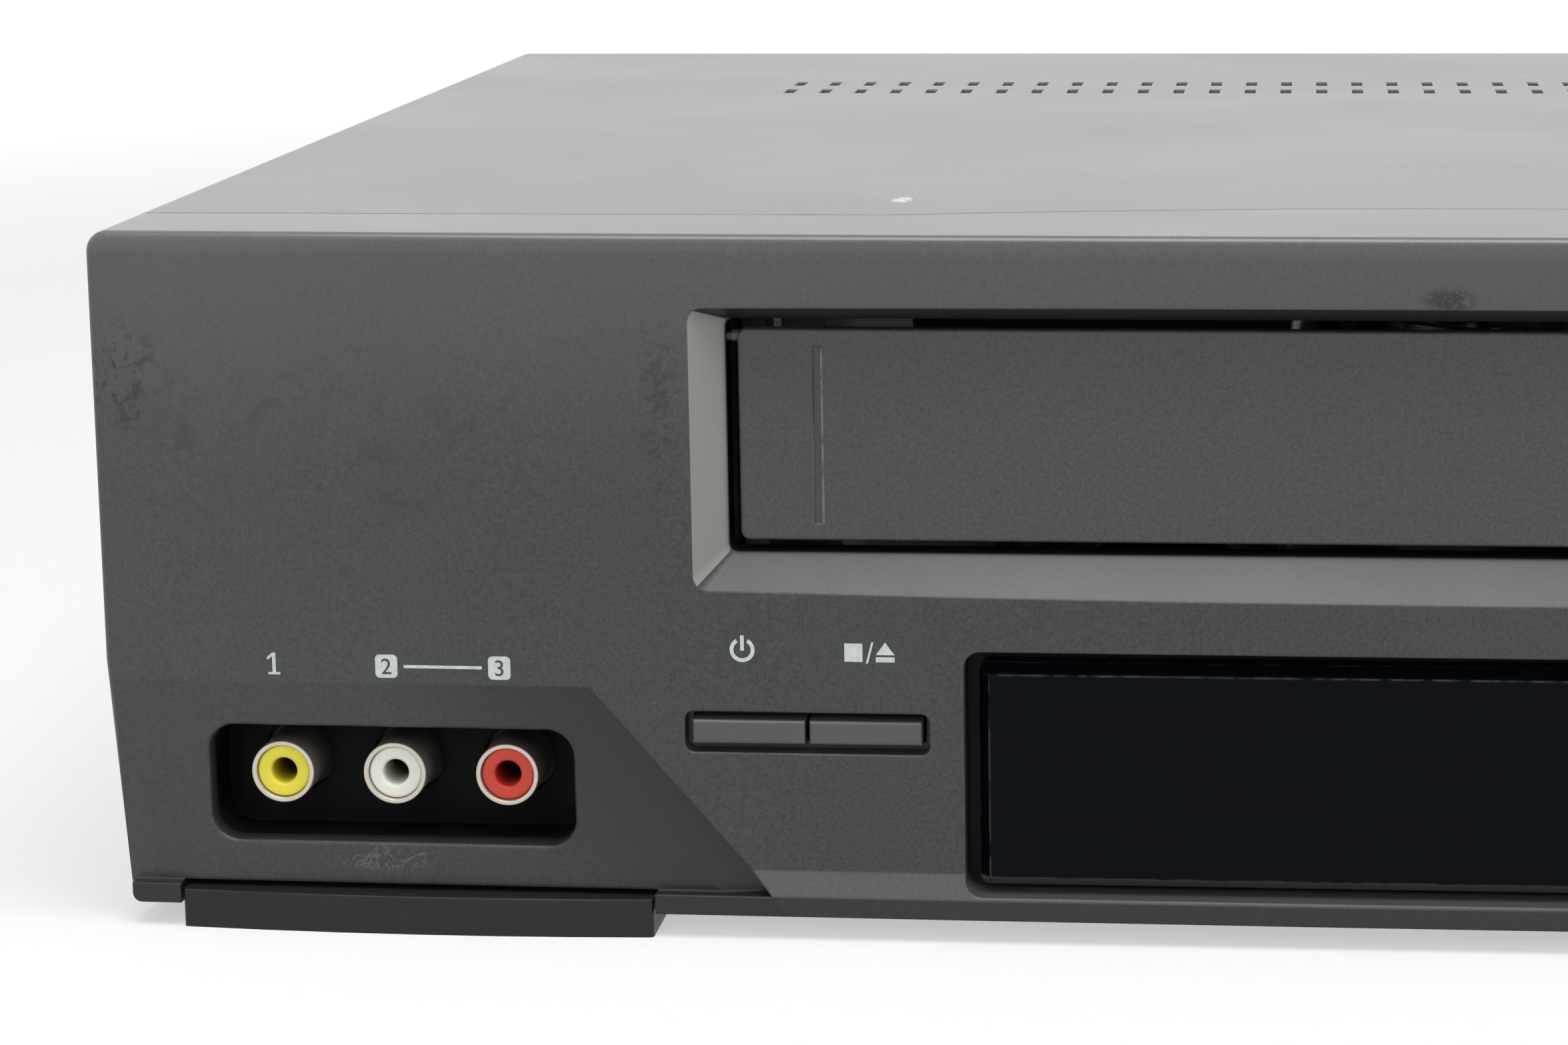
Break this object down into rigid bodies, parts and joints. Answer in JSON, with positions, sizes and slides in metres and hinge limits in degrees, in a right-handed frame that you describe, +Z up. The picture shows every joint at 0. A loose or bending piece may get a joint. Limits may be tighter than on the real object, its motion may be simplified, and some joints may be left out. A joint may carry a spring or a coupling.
{
  "type": "video cassette recorder",
  "caption": "Front-loading video cassette recorder with bowed moulded front, swinging cassette door, loading lift and helical-scan tape deck inside a folded cover.",
  "frame": {"origin": "on the floor, at the middle of the footprint", "axes": "+X to the right of somebody facing the front, +Y to the rear, +Z up"},
  "size_m": [0.36, 0.27, 0.092],
  "materials": {
    "bezel_plastic": "fine grained dark grey moulding",
    "cover_paint": "satin grey paint on folded steel sheet",
    "door_plastic": "fine grained dark grey moulding",
    "key_plastic": "smooth grey moulding",
    "foot_plastic": "dark grey moulding",
    "rubber_black": "matt",
    "window_acrylic": "dark tinted acrylic window",
    "tube_glass": "sealed display tube",
    "holder_plastic": "white moulding",
    "board_laminate": "brown paper laminate",
    "switch_plastic": "small black moulded switches",
    "jack_body": "black moulding",
    "nickel": "nickel plated",
    "insert_yellow": "yellow moulding",
    "insert_white": "white moulding",
    "insert_red": "red moulding",
    "zinc_steel": "zinc plated sheet",
    "panel_paint": "dark grey paint on sheet",
    "screw_steel": "dark plated screws",
    "socket_plastic": "black moulding",
    "core_steel": "varnished laminations",
    "winding_tape": "taped copper winding",
    "capacitor_sleeve": "shrink sleeve",
    "drum_aluminium": "finely turned",
    "head_ferrite": "polished ferrite chips",
    "polished_steel": "polished shaft and posts",
    "brass": "turned",
    "arm_steel": "plated arm",
    "reel_plastic": "black moulding",
    "gear_plastic": "natural acetal moulding",
    "motor_can": "drawn can"
  },
  "bodies": {
    "housing": {"front_bezel": "bezel_plastic", "top_cover": "cover_paint", "base_pan": "zinc_steel", "rear_panel": "panel_paint", "front_feet": "foot_plastic", "rear_feet": "rubber_black", "screws": "screw_steel", "display_lens": "window_acrylic", "display_tube": "tube_glass", "display_holder": "holder_plastic", "front_board": "board_laminate", "key_switches": "switch_plastic", "main_board": "board_laminate", "jack_block": "jack_body", "jack_shells": "nickel", "yellow_insert": "insert_yellow", "white_insert": "insert_white", "red_insert": "insert_red", "scart_sockets": "socket_plastic", "tuner": "nickel", "mains_inlet": "socket_plastic", "transformer_core": "core_steel", "transformer_winding": "winding_tape", "capacitors": "capacitor_sleeve", "deck_plate": "zinc_steel", "lower_drum": "drum_aluminium", "erase_head": "motor_can", "audio_control_head": "motor_can", "guide_posts": "polished_steel", "capstan_bearing": "brass", "capstan_stator": "board_laminate", "loading_motor": "motor_can", "lift_frame": "zinc_steel"},
    "door": {"cassette_door": "door_plastic"},
    "drum_rotor": {"upper_drum": "drum_aluminium", "video_heads": "head_ferrite"},
    "capstan_rotor": {"capstan": "polished_steel"},
    "pinch_lever": {"pinch_arm": "arm_steel"},
    "pinch_wheel": {"pinch_roller": "rubber_black"},
    "tension_lever": {"tension_arm": "arm_steel"},
    "idler_lever": {"idler_arm": "arm_steel"},
    "idler_disc": {"idler_wheel": "rubber_black"},
    "supply_table": {"supply_reel": "reel_plastic"},
    "take_up_table": {"take_up_reel": "reel_plastic"},
    "supply_guide": {"supply_carriage": "brass"},
    "take_up_guide": {"take_up_carriage": "brass"},
    "supply_guide_roller": {"supply_roller": "polished_steel"},
    "take_up_guide_roller": {"take_up_roller": "polished_steel"},
    "cam": {"cam_gear": "gear_plastic"},
    "pinion": {"motor_pinion": "brass"},
    "sliders": {"lift_sliders": "gear_plastic"},
    "cage": {"cassette_cage": "zinc_steel"},
    "standby_button": {"standby_key": "key_plastic"},
    "stop_eject_button": {"stop_eject_key": "key_plastic"},
    "channel_down_button": {"channel_down_key": "key_plastic"},
    "channel_up_button": {"channel_up_key": "key_plastic"},
    "play_button": {"play_key": "key_plastic"},
    "rewind_button": {"rewind_key": "key_plastic"},
    "record_button": {"record_key": "key_plastic"},
    "forward_button": {"forward_key": "key_plastic"}
  },
  "joints": [
    {"name": "door_hinge", "type": "hinge", "parent": "housing", "child": "door", "pos_m": [0, -0.1275, 0.07835], "axis": [1, 0, 0], "range_deg": [0, 90], "stiffness_Nm_per_rad": 0.004},
    {"name": "standby_press", "type": "slide", "parent": "housing", "child": "standby_button", "axis": [0, 1, 0], "range_m": [0, 0.001], "stiffness_N_per_m": 250},
    {"name": "stop_eject_press", "type": "slide", "parent": "housing", "child": "stop_eject_button", "axis": [0, 1, 0], "range_m": [0, 0.001], "stiffness_N_per_m": 250},
    {"name": "channel_down_press", "type": "slide", "parent": "housing", "child": "channel_down_button", "axis": [0, 1, 0], "range_m": [0, 0.001], "stiffness_N_per_m": 250},
    {"name": "channel_up_press", "type": "slide", "parent": "housing", "child": "channel_up_button", "axis": [0, 1, 0], "range_m": [0, 0.001], "stiffness_N_per_m": 250},
    {"name": "play_press", "type": "slide", "parent": "housing", "child": "play_button", "axis": [0, 1, 0], "range_m": [0, 0.001], "stiffness_N_per_m": 250},
    {"name": "rewind_press", "type": "slide", "parent": "housing", "child": "rewind_button", "axis": [0, 1, 0], "range_m": [0, 0.001], "stiffness_N_per_m": 250},
    {"name": "record_press", "type": "slide", "parent": "housing", "child": "record_button", "axis": [0, 1, 0], "range_m": [0, 0.001], "stiffness_N_per_m": 250},
    {"name": "forward_press", "type": "slide", "parent": "housing", "child": "forward_button", "axis": [0, 1, 0], "range_m": [0, 0.001], "stiffness_N_per_m": 250},
    {"name": "holder_slide", "type": "slide", "parent": "housing", "child": "sliders", "axis": [0, 1, 0], "range_m": [0, 0.062]},
    {"name": "holder_lift", "type": "slide", "parent": "sliders", "child": "cage", "axis": [0, 0, -1], "range_m": [0, 0.022]},
    {"name": "drum_spin", "type": "hinge", "parent": "housing", "child": "drum_rotor", "pos_m": [0, 0.043, 0.0275], "axis": [0.1038, 0, 0.9946], "continuous": true},
    {"name": "capstan_spin", "type": "hinge", "parent": "housing", "child": "capstan_rotor", "pos_m": [0.066, 0.014, 0.04], "axis": [0, 0, 1], "continuous": true},
    {"name": "supply_reel_spin", "type": "hinge", "parent": "housing", "child": "supply_table", "pos_m": [-0.046, -0.0492, 0.028], "axis": [0, 0, 1], "continuous": true},
    {"name": "take_up_reel_spin", "type": "hinge", "parent": "housing", "child": "take_up_table", "pos_m": [0.046, -0.0492, 0.03], "axis": [0, 0, 1], "continuous": true},
    {"name": "idler_swing", "type": "hinge", "parent": "housing", "child": "idler_lever", "pos_m": [0, -0.022, 0.028], "axis": [0, 0, 1], "range_deg": [-26, 26]},
    {"name": "idler_wheel_spin", "type": "hinge", "parent": "idler_lever", "child": "idler_disc", "pos_m": [0, -0.0492, 0.03], "axis": [0, 0, 1], "continuous": true},
    {"name": "cam_spin", "type": "hinge", "parent": "housing", "child": "cam", "pos_m": [-0.078, 0.068, 0.03], "axis": [0, 0, 1], "range_deg": [0, 150]},
    {"name": "pinion_spin", "type": "hinge", "parent": "housing", "child": "pinion", "pos_m": [-0.078, 0.094, 0.03], "axis": [0, 0, 1], "range_deg": [-505, 5]},
    {"name": "pinch_arm_swing", "type": "hinge", "parent": "housing", "child": "pinch_lever", "pos_m": [0.09, 0.03, 0.03], "axis": [0, 0, 1], "range_deg": [0, 35.1]},
    {"name": "pinch_roller_spin", "type": "hinge", "parent": "pinch_lever", "child": "pinch_wheel", "pos_m": [0.06934, 0.0321, 0.045], "axis": [0, 0, 1], "continuous": true},
    {"name": "supply_guide_slide", "type": "slide", "parent": "housing", "child": "supply_guide", "axis": [-0.1775, 0.9841, 0], "range_m": [0, 0.062]},
    {"name": "supply_guide_roller_spin", "type": "hinge", "parent": "supply_guide", "child": "supply_guide_roller", "pos_m": [-0.03, -0.0095, 0.045], "axis": [0, 0, 1], "continuous": true},
    {"name": "take_up_guide_slide", "type": "slide", "parent": "housing", "child": "take_up_guide", "axis": [0.1775, 0.9841, 0], "range_m": [0, 0.062]},
    {"name": "take_up_guide_roller_spin", "type": "hinge", "parent": "take_up_guide", "child": "take_up_guide_roller", "pos_m": [0.03, -0.0095, 0.045], "axis": [0, 0, 1], "continuous": true},
    {"name": "tension_arm_swing", "type": "hinge", "parent": "housing", "child": "tension_lever", "pos_m": [-0.078, 0.022, 0.029], "axis": [0, 0, 1], "range_deg": [-8, 10], "stiffness_Nm_per_rad": 0.02}
  ],
  "couplings": [
    {"joint": "pinion_spin", "follows": "cam_spin", "ratio": -3.3333},
    {"joint": "pinch_arm_swing", "follows": "cam_spin", "ratio": 0.23333},
    {"joint": "supply_guide_slide", "follows": "cam_spin", "m_per_rad": 0.023644},
    {"joint": "take_up_guide_slide", "follows": "cam_spin", "m_per_rad": 0.023644}
  ]
}
